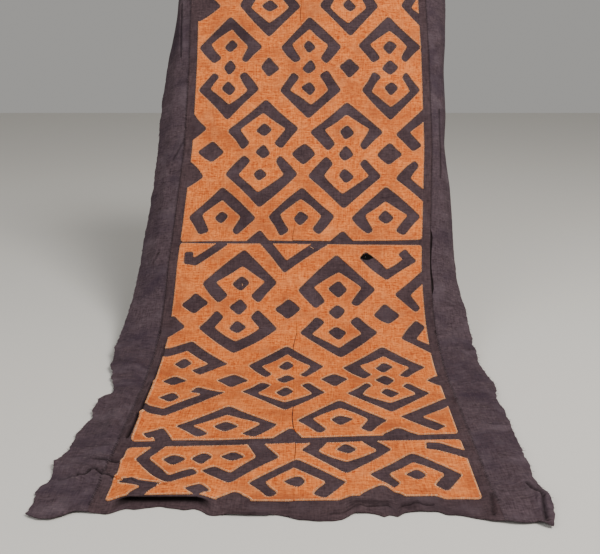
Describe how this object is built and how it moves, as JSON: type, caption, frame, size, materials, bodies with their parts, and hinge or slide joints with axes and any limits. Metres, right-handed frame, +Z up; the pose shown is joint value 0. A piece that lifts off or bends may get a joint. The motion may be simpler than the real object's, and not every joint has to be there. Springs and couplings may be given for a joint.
{
  "type": "kuba raffia cloth",
  "caption": "Long raffia cloth with dark side borders and orange panels cut through with hooks and lozenges, hung by its top edge and running out over the floor.",
  "frame": {"origin": "middle of the top edge, on the upper face", "axes": "+Z up; the cloth comes down and runs out over the floor towards -Y; +X is to the right of a viewer who faces the cloth"},
  "size_m": [0.8109, 1.3917, 0.8342],
  "materials": {
    "dark_raffia": "matt brown-black dyed raffia, plain weave",
    "dark_raffia_border": "matt brown-black dyed raffia, plain weave, dusty and frayed at its edge",
    "orange_raffia": "matt orange-brown dyed raffia, plain weave",
    "pale_stitching": "pale raffia thread, overcast"
  },
  "bodies": {
    "root": {"ground_cloth": "dark_raffia", "border_left": "dark_raffia_border", "border_right": "dark_raffia_border", "panel_bottom_left": "orange_raffia", "panel_bottom_right": "orange_raffia", "panel_middle_left": "orange_raffia", "panel_middle_right": "orange_raffia", "panel_top_left": "orange_raffia", "panel_top_right": "orange_raffia", "patch_bottom_1": "orange_raffia", "patch_middle_1": "orange_raffia", "patch_middle_2": "orange_raffia", "patch_top_1": "orange_raffia"}
  },
  "joints": []
}
